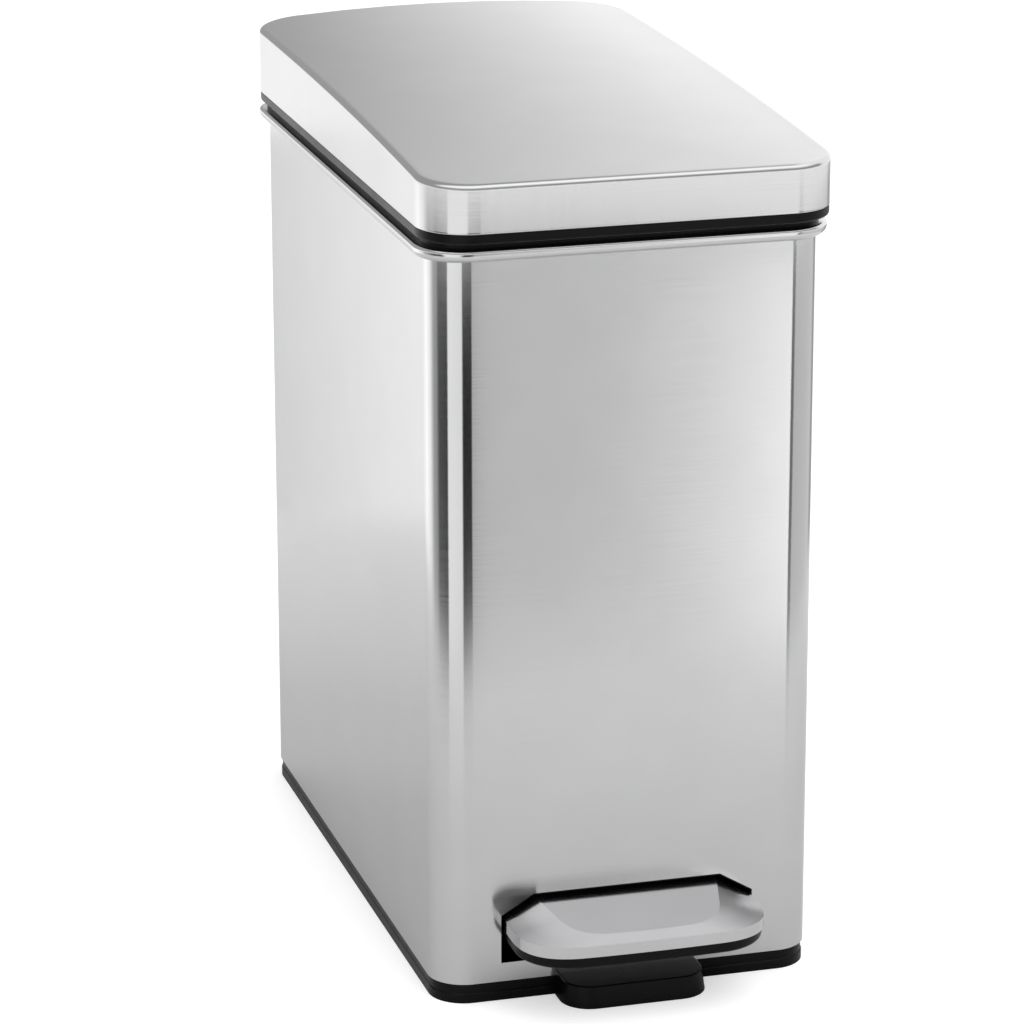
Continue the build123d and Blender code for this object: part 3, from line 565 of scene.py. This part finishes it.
@dataclass
class SteelShell:
    """The brushed tube of the can with its pedal opening, and the rolled bead round its top."""

    width: float = 167.5 * MM
    depth: float = 307.0 * MM
    radius: float = 16.0 * MM
    middle_y: float = 17.1 * MM
    wall: float = 0.8 * MM
    bottom: float = 8.7 * MM
    top: float = 326.4 * MM
    opening_half: float = 55.7 * MM
    opening_corner: float = 14.5 * MM
    opening_low: float = 17.0 * MM
    opening_shoulder: float = 38.3 * MM
    opening_high: float = 47.0 * MM
    bead_out: float = 4.6 * MM
    bead_low: float = 322.4 * MM
    bead_top: float = 328.0 * MM
    bead_round: float = 1.44 * MM
    bead_land: float = 0.3 * MM

    def build_tube(self) -> bpy.types.Object:
        """Makes the tube as a sheet with the opening left out, then gives it its thickness.

        A point of the sheet is p = (outline(s), z), for s round the can and z from bottom to top.

        Returns:
            The tube.
        """
        inner = self.opening_half - self.opening_corner
        marks = (inner, self.opening_half)
        outline = Outline(self.width, self.depth, self.radius, self.middle_y, front_marks=marks)
        points, _, run = outline.trace()
        heights = np.array([self.bottom, self.opening_low, self.opening_shoulder, self.opening_high])
        heights = np.concatenate([heights, np.linspace(self.opening_high, self.top, 9)[1:]])
        grid = np.empty((len(heights), len(points), 3))
        grid[:, :, :2] = points
        grid[:, :, 2] = heights[:, None]
        uv = np.stack(np.broadcast_arrays(run[None, :], heights[:, None]), axis=-1)
        tube = add_mesh("shell_tube", grid, self.cut_opening(grid, inner), uv)
        thicken(tube, self.wall)
        return tube

    def cut_opening(self, grid: np.ndarray, inner: float) -> list[list[int]]:
        """Leaves the cells of the pedal opening out of the tube's faces.

        A cell at one of the opening's sloping corners keeps its outer half, as a triangle.

        Args:
            grid: Points of the tube.
            inner: Half width of the opening's level upper edge.

        Returns:
            The faces that stay.
        """
        cells = grid_faces(*grid.shape[:2], False)
        places = grid.reshape(-1, 3)[cells]
        x, y, z = places.mean(axis=1).T
        is_open = (y < grid[..., 1].min() + WELD) & (abs(x) < self.opening_half)
        is_open &= (z > self.opening_low) & (z < self.opening_high)
        is_slope = is_open & (z > self.opening_shoulder) & (abs(x) > inner)
        sides, levels = places[is_slope, :, 0], places[is_slope, :, 2]
        is_kept = (abs(abs(sides) - inner) > WELD) | (levels > self.opening_high - WELD)
        return cells[~is_open].tolist() + cells[is_slope][is_kept].reshape(-1, 3).tolist()

    def build_bead(self) -> bpy.types.Object:
        """Makes the bead: a ring whose section is a large round below and a small one above.

        A point of the ring is p = (outline(s) + o * normal(s), z). On the large round of radius R,
        o = bead_out - R + R * sin a and z = top - R * cos a. On the small one of radius r,
        o = bead_out - r + r * cos a and z = bead_top - r + r * sin a.

        Returns:
            The bead.
        """
        outline = Outline(self.width, self.depth, self.radius, self.middle_y, corner_steps=40)
        points, normals, _ = (line[:-1] for line in outline.trace())
        large = self.top - self.bead_low
        quarter = np.linspace(0, math.pi / 2, 15)
        low_out = self.bead_out - large + large * np.sin(quarter)
        low_z = self.top - large * np.cos(quarter)
        high_out = self.bead_out - self.bead_round + self.bead_round * np.cos(quarter)
        high_z = self.bead_top - self.bead_round + self.bead_round * np.sin(quarter)
        back_out = [high_out[-1] - self.bead_land, -self.wall, -self.wall, 0.0]
        back_z = [self.bead_top, self.bead_top, self.top, self.top]
        out = np.concatenate([[0.0], low_out, high_out, back_out])
        z = np.concatenate([[self.bead_low], low_z, high_z, back_z])
        grid = np.empty((len(out), len(points), 3))
        grid[:, :, :2] = points + out[:, None, None] * normals
        grid[:, :, 2] = z[:, None]
        return add_mesh("shell_bead", grid, grid_faces(*grid.shape[:2], True, True).tolist())

    def build(self, finishes: Finishes) -> None:
        """Builds and dresses both pieces.

        Args:
            finishes: Where the materials come from.
        """
        tube = self.build_tube()
        tube.data.materials.append(finishes.brushed("shell"))
        place_piece(tube, Body.CAN, "brushed_steel", "outer_shell")
        bead = self.build_bead()
        bead.data.materials.append(finishes.get("bead_steel"))
        place_piece(bead, Body.CAN, "bead_steel", "rim_trim")


@dataclass
class LidSkin:
    """The domed steel sheet of the lid with its crisp edge and upright skirt.

    Its top is z = base + rise * (1 - (1 - t) ** power) + (flat + crown * t) * (1 - (x / half) ** 2),
    where t runs from 0 at the front to 1 at the back.
    """

    width: float = 176.2 * MM
    depth: float = 321.0 * MM
    radius: float = 22.0 * MM
    middle_y: float = 14.9 * MM
    low: float = 335.4 * MM
    front_height: float = 20.4 * MM
    back_rise: float = 9.05 * MM
    rise_power: float = 2.3
    flat_crown: float = 0.1 * MM
    back_crown: float = 4.3 * MM
    edge_round: float = 2.2 * MM
    hem_round: float = 0.7 * MM
    sheet: float = 0.8 * MM
    guard: float = 0.4 * MM
    edge_step: float = 0.3 * MM
    crease: float = 60.0

    def top(self, x: np.ndarray, y: np.ndarray) -> np.ndarray:
        """Height of the dome.

        Args:
            x: Places across the can.
            y: Places along the can.

        Returns:
            Heights above the floor.
        """
        share = np.clip((y - (self.middle_y - self.depth / 2)) / self.depth, 0, 1)
        rise = self.back_rise * (1 - (1 - share) ** self.rise_power)
        crown = (self.flat_crown + self.back_crown * share) * (1 - (2 * x / self.width) ** 2)
        return self.low + self.front_height + rise + crown

    def build_skin(self) -> bpy.types.Object:
        """Makes the sheet as rings from the hem up the skirt, round the edge and over the top.

        Returns:
            The sheet, closed at its hem by its thickness.
        """
        outline = Outline(self.width, self.depth, self.radius, self.middle_y, corner_steps=44)
        points, normals, run = (line[:-1] for line in outline.trace())
        quarter = np.linspace(0, math.pi / 2, 6)
        hem_in = np.append(self.hem_round * (1 - np.sin(quarter)), 0.0)
        hem_z = self.low + self.hem_round * (1 - np.cos(quarter))
        hem_z = np.append(hem_z, hem_z[-1] + self.guard)
        rows, uv_v = [], []
        for inset, z in zip(hem_in, hem_z):
            rows.append(np.column_stack([points - inset * normals, np.full(len(points), z)]))
            uv_v.append(z)
        edge_z = self.top(points[:, 0], points[:, 1]) - self.edge_round
        start_z = self.low + self.hem_round
        for share in np.append(np.linspace(0, 1, 7)[1:-1], [0.97, 1.0]):
            rows.append(np.column_stack([points, start_z + share * (edge_z - start_z)]))
            uv_v.append(start_z + share * (self.front_height - self.hem_round))
        for angle in np.linspace(0, math.pi / 2, 13)[1:]:
            flat = points - self.edge_round * (1 - math.cos(angle)) * normals
            drop = self.edge_round * (1 - math.sin(angle))
            rows.append(np.column_stack([flat, self.top(flat[:, 0], flat[:, 1]) - drop]))
            uv_v.append(uv_v[-1] + self.edge_step)
        edge = points - self.edge_round * normals
        spine_half = (self.depth - self.width) / 2
        spine_y = np.clip(edge[:, 1], self.middle_y - spine_half, self.middle_y + spine_half)
        spine = np.column_stack([np.zeros(len(edge)), spine_y])
        for share in np.concatenate([[0.02, 0.05], np.linspace(0.1, 1.0, 19)]):
            flat = edge + share * (spine - edge)
            rows.append(np.column_stack([flat, self.top(flat[:, 0], flat[:, 1])]))
        grid = np.stack(rows)
        # The top is mapped straight from above, the skirt and the edge by run and height
        uv = grid[..., :2].copy()
        uv[: len(uv_v), :, 0] = run
        uv[: len(uv_v), :, 1] = np.array(uv_v)[:, None]
        skin = add_mesh("lid_skin", grid, grid_faces(*grid.shape[:2], True).tolist(), uv, self.crease)
        thicken(skin, self.sheet, self.crease)
        return skin

    def build(self, finishes: Finishes) -> None:
        """Builds and dresses the sheet.

        Args:
            finishes: Where the materials come from.
        """
        skin = self.build_skin()
        skin.data.materials.append(finishes.brushed("lid"))
        place_piece(skin, Body.LID, "brushed_steel", "lid_shell")


@dataclass
class PedalCap:
    """The steel cap of the pedal: an upright rim, wide bevels and a sloping facet on top."""

    front_y: float = -136.4 * MM
    reach: float = 39.0 * MM
    tail: float = 8.0 * MM
    half_width: float = 54.5 * MM
    corner: float = 24.0 * MM
    bow: float = 2.0 * MM
    low: float = 31.7 * MM
    rim: float = 5.0 * MM
    facet_height: float = 44.3 * MM
    facet_slope: float = math.radians(9.8)
    facet_front: float = 32.5 * MM
    facet_half_back: float = 41.8 * MM
    facet_half_front: float = 32.0 * MM
    facet_corner: float = 14.0 * MM
    sheet: float = 1.0 * MM
    edge_round: float = 0.6 * MM

    def side(
        self,
        half_back: float,
        half_front: float,
        back: float,
        front: float,
        corner: float,
    ) -> np.ndarray:
        """Traces one of the cap's outlines from its back right round the front to its back left.

        A corner is a quadratic curve q = (1 - s)^2 a + 2 s (1 - s) k + s^2 b about its sharp point k.

        Args:
            half_back: Half width at the back.
            half_front: Half width at the front.
            back: Y of the back edge.
            front: Y of the front in its middle.
            corner: How far a corner reaches along each side.

        Returns:
            Points with x and y.
        """
        tip = np.array([half_front, front + self.bow])
        rear = np.array([half_back, back])
        along = (rear - tip) / np.linalg.norm(rear - tip)
        start = tip + corner * along
        share = np.linspace(0, 1, 7)[:, None]
        straight = rear + share * (start - rear)
        bow_x = half_front - corner
        bow_y = front + self.bow * (bow_x / half_front) ** 2
        end = np.array([bow_x, bow_y])
        turn = np.linspace(0, 1, 19)[1:, None]
        curve = (1 - turn) ** 2 * start + 2 * turn * (1 - turn) * tip + turn**2 * end
        x = np.linspace(bow_x, -bow_x, 15)[1:-1]
        middle = np.column_stack([x, front + self.bow * (x / half_front) ** 2])
        right = np.concatenate([straight, curve])
        left = right[::-1] * np.array([-1.0, 1.0])
        return np.concatenate([right, middle, left])

    def build_cap(self) -> bpy.types.Object:
        """Makes the cap as rows of its outline: up the rim, up the bevels and over the facet.

        Returns:
            The cap, with its edges a little rounded.
        """
        back = self.front_y + self.tail
        rim_tip = self.front_y - self.reach
        facet_tip = self.front_y - self.facet_front
        rim = self.side(self.half_width, self.half_width, back, rim_tip, self.corner)
        facet = self.side(self.facet_half_back, self.facet_half_front, back, facet_tip, self.facet_corner)
        facet_z = self.facet_height + (facet[:, 1] - self.front_y) * math.tan(self.facet_slope)
        rows = []
        for z in (self.low, self.low + self.rim / 2, self.low + self.rim):
            rows.append(np.column_stack([rim, np.full(len(rim), z)]))
        edge = rows[-1]
        top = np.column_stack([facet, facet_z])
        for share in (0.33, 0.67, 1.0):
            rows.append(edge + share * (top - edge))
        for share in (0.5, 0.0):
            rows.append(top * [share, 1.0, 1.0])
        grid = np.stack(rows)
        uv = np.stack([grid[..., 0], grid[..., 1] + grid[..., 2]], axis=-1)
        cap = add_mesh("pedal_cap", grid, grid_faces(*grid.shape[:2], False).tolist(), uv)
        thicken(cap, self.sheet)
        mark_edges(cap, np.concatenate([edge, top]))
        rounding = cap.modifiers.new("edges", "BEVEL")
        rounding.width = self.edge_round
        rounding.segments = 3
        rounding.limit_method = "WEIGHT"
        rounding.harden_normals = True
        return cap

    def build(self, finishes: Finishes) -> None:
        """Builds and dresses the cap.

        Args:
            finishes: Where the materials come from.
        """
        cap = self.build_cap()
        cap.data.materials.append(finishes.brushed("pedal"))
        place_piece(cap, Body.PEDAL, "brushed_steel", "pedal_cover")


@dataclass
class CadPieces:
    """The CAD nodes that show as they are, dressed by their material slots."""

    record: dict

    def build(self, finishes: Finishes) -> None:
        """Gives each CAD node the finish of its slot.

        Args:
            finishes: Where the materials come from.
        """
        for part in self.record["subparts"]:
            node = frame["nodes"][part["node"]]
            node.data.materials.clear()
            node.data.materials.append(finishes.get(part["material_slot"]))
            log.info("node %s is %s", part["node"], part["material_slot"])


@dataclass(frozen=True)
class Flags:
    """A ring of upright cards round the can: steel sees them, the camera and the shadows don't.

    Each step is a bearing in degrees from the front towards the right, the light that steel sees
    there, and how much of the view the card covers.
    """

    name: str
    distance: float
    height: float
    steps: tuple[tuple[float, float, float], ...]
    brightest: float = 2.0

    def build(self) -> None:
        """Makes the ring with light and cover that vary along it.

        A point of the ring is p = (d * sin b, -d * cos b, z), for the distance d and a bearing b.
        """
        bearings = np.radians(np.linspace(-180, 180, 721))
        grid = np.empty((2, len(bearings), 3))
        grid[:, :, :2] = np.column_stack([np.sin(bearings), -np.cos(bearings)]) * self.distance
        grid[:, :, 2] = np.array([[0.0], [self.height]])
        uv = np.stack(np.broadcast_arrays(np.linspace(0, 1, len(bearings))[None, :], grid[:, :, 2]), axis=-1)
        ring = add_mesh(self.name, grid, grid_faces(2, len(bearings), False).tolist(), uv)
        material, tree = new_material(f"studio_{self.name}")
        place = add_node(tree, "UVMap", {"uv_map": "metres"})
        split = add_node(tree, "SeparateXYZ", links={0: place.outputs[0]})
        ramps = []
        for column, full in ((1, self.brightest), (2, 1.0)):
            ramp = add_node(tree, "ValToRGB", links={0: split.outputs[0]})
            stops = ramp.color_ramp.elements
            while len(stops) < len(self.steps):
                stops.new(0.5)
            for stop, step in zip(stops, self.steps):
                level = step[column] / full
                stop.position = (step[0] + 180) / 360
                stop.color = (level, level, level, 1.0)
            ramps.append(ramp)
        light, cover = ramps
        clear = add_node(tree, "BsdfTransparent")
        glow = add_node(tree, "Emission", {"Strength": self.brightest}, {"Color": light.outputs[0]})
        mix = add_node(
            tree,
            "MixShader",
            links={0: cover.outputs[0], 1: clear.outputs[0], 2: glow.outputs[0]},
        )
        add_node(tree, "OutputMaterial", links={"Surface": mix.outputs[0]})
        ring.data.materials.append(material)
        ring.visible_camera = False
        ring.visible_diffuse = False
        ring.visible_shadow = False


@dataclass
class Studio:
    """The pale floor, the soft light, the dark flags that steel shows at its corners, and the camera."""

    camera_place: tuple[float, float, float] = (-0.5229, -1.8018, 0.7463)
    camera_yaw: float = math.radians(15.849)
    camera_pitch: float = math.radians(17.033)
    camera_roll: float = math.radians(0.067)
    lens: float = 155.34
    floor_size: float = 14.0
    camera_lift: float = 0.5
    glossy_lift: float = 0.5
    key_place: tuple[float, float, float] = (0.5, -1.0, 1.9)
    key_size: float = 1.6
    key_watts: float = 12.0
    aim_height: float = 0.15
    low_flags: Flags = Flags(
        "low_flags",
        0.6,
        0.225,
        (
            (-163, 0.8, 0.8),
            (-154.5, 1.2, 0.8),
            (-125, 1.6, 1.0),
            (-105, 1.3, 1.0),
            (-90, 0.5, 1.0),
            (-80, 0.4, 1.0),
            (-73, 0.1, 1.0),
            (-50, 0.05, 1.0),
            (-48, 1.2, 1.0),
            (-17, 1.1, 1.0),
            (-15, 0.01, 1.0),
            (8, 0.01, 1.0),
            (30, 0.2, 1.0),
            (36.5, 0.2, 1.0),
            (38.5, 0.7, 1.0),
            (100, 0.82, 1.0),
            (115, 0.35, 1.0),
            (150, 0.35, 0.0),
        ),
    )
    tall_flag: Flags = Flags(
        "tall_flag",
        0.595,
        0.215,
        (
            (5.3, 0.77, 0.0),
            (5.45, 0.77, 1.0),
            (10, 0.78, 1.0),
            (13, 0.84, 1.0),
            (16, 0.96, 1.0),
            (18.9, 1.15, 1.0),
            (21.2, 1.36, 1.0),
            (30, 1.36, 1.0),
            (30.3, 1.36, 0.0),
        ),
    )

    def build_floor(self) -> None:
        """Makes the pale floor, which keeps the shadow.

        It looks white to the camera, and in the steel it gets paler with its distance from the can.
        """
        half = self.floor_size / 2
        points = np.array([[-half, -half, 0], [half, -half, 0], [half, half, 0], [-half, half, 0]])
        floor = add_mesh("floor", points, [[0, 1, 2, 3]])
        material, tree = new_material("studio_floor")
        rays = add_node(tree, "LightPath")
        place = add_node(tree, "TexCoord")
        away = add_node(tree, "VectorMath", {"operation": "LENGTH"}, {0: place.outputs["Object"]})
        far = add_node(
            tree,
            "MapRange",
            {"From Min": 0.3, "From Max": 1.3, "To Min": 0.0, "To Max": self.glossy_lift},
            {"Value": away.outputs["Value"]},
        )
        in_steel = add_node(
            tree,
            "Math",
            {"operation": "MULTIPLY"},
            {0: rays.outputs["Is Glossy Ray"], 1: far.outputs[0]},
        )
        lift = add_node(
            tree,
            "Math",
            {"operation": "MULTIPLY_ADD", 1: self.camera_lift},
            {0: rays.outputs["Is Camera Ray"], 2: in_steel.outputs[0]},
        )
        matt = add_node(tree, "BsdfDiffuse", {"Color": linear("#D9D9D9")})
        glow = add_node(tree, "Emission", {"Color": (1, 1, 1, 1)}, {"Strength": lift.outputs[0]})
        both = add_node(tree, "AddShader", links={0: matt.outputs[0], 1: glow.outputs[0]})
        add_node(tree, "OutputMaterial", links={"Surface": both.outputs[0]})
        floor.data.materials.append(material)

    def build_world(self) -> None:
        """Makes the surroundings, which only the steel sees; all other rays get plain white.

        In front they are dim low down and pale above, and behind they are paler on the right.
        """
        world = bpy.data.worlds.new("studio")
        bpy.context.scene.world = world
        world.use_nodes = True
        tree = world.node_tree
        tree.nodes.clear()
        place = add_node(tree, "TexCoord")
        split = add_node(tree, "SeparateXYZ", links={0: place.outputs["Generated"]})
        front = add_node(
            tree,
            "MapRange",
            {
                "interpolation_type": "SMOOTHSTEP",
                "From Min": 0.38,
                "From Max": 0.8,
                "To Min": 0.42,
                "To Max": 1.5,
            },
            {"Value": split.outputs[2]},
        )
        side = add_node(
            tree,
            "Math",
            {"operation": "MULTIPLY_ADD", 1: -0.14},
            {0: split.outputs[2], 2: split.outputs[0]},
        )
        behind = add_node(
            tree,
            "MapRange",
            {"From Min": 0.145, "From Max": 0.29, "To Min": 0.46, "To Max": 1.2},
            {"Value": side.outputs[0]},
        )
        is_behind = add_node(
            tree,
            "MapRange",
            {"interpolation_type": "SMOOTHSTEP", "From Min": -0.15, "From Max": 0.15},
            {"Value": split.outputs[1]},
        )
        mix = add_node(
            tree,
            "Mix",
            {"data_type": "FLOAT"},
            {0: is_behind.outputs[0], 2: front.outputs[0], 3: behind.outputs[0]},
        )
        rays = add_node(tree, "LightPath")
        shown = add_node(
            tree,
            "Mix",
            {"data_type": "FLOAT", 2: 1.0},
            {0: rays.outputs["Is Glossy Ray"], 3: mix.outputs[0]},
        )
        back = add_node(tree, "Background", {"Color": (1, 1, 1, 1)}, {"Strength": shown.outputs[0]})
        add_node(tree, "OutputWorld", links={"Surface": back.outputs[0]})

    def build_key(self) -> None:
        """Hangs the square soft key lamp and points it at the can; the steel doesn't show it."""
        data = bpy.data.lights.new("key", "AREA")
        data.shape = "SQUARE"
        data.size = self.key_size
        data.energy = self.key_watts
        lamp = bpy.data.objects.new("key", data)
        bpy.context.scene.collection.objects.link(lamp)
        lamp.location = self.key_place
        lamp.visible_glossy = False
        aim = np.array([0.0, 0.0, self.aim_height]) - np.array(self.key_place)
        pitch = math.atan2(math.hypot(aim[0], aim[1]), -aim[2])
        lamp.rotation_euler = Euler((pitch, 0.0, math.atan2(aim[1], aim[0]) - math.pi / 2))

    def build_camera(self) -> None:
        """Puts the camera where the photograph was taken."""
        data = bpy.data.cameras.new("photo_view")
        data.lens = self.lens
        data.sensor_width = 36.0
        camera = bpy.data.objects.new("photo_view", data)
        bpy.context.scene.collection.objects.link(camera)
        camera.location = self.camera_place
        camera.rotation_euler = Euler((math.pi / 2 - self.camera_pitch, self.camera_roll, -self.camera_yaw))
        bpy.context.scene.camera = camera

    def build(self) -> None:
        """Builds the whole studio."""
        self.build_floor()
        self.low_flags.build()
        self.tall_flag.build()
        self.build_world()
        self.build_key()
        self.build_camera()
        bpy.context.scene.view_settings.view_transform = "Standard"
        log.info("studio built")


def main() -> None:
    """Builds the looks of the can, then the studio."""
    finishes = Finishes()
    CadPieces(frame["record"]).build(finishes)
    SteelShell().build(finishes)
    LidSkin().build(finishes)
    PedalCap().build(finishes)
    Studio().build()


if __name__ == "__main__":
    main()
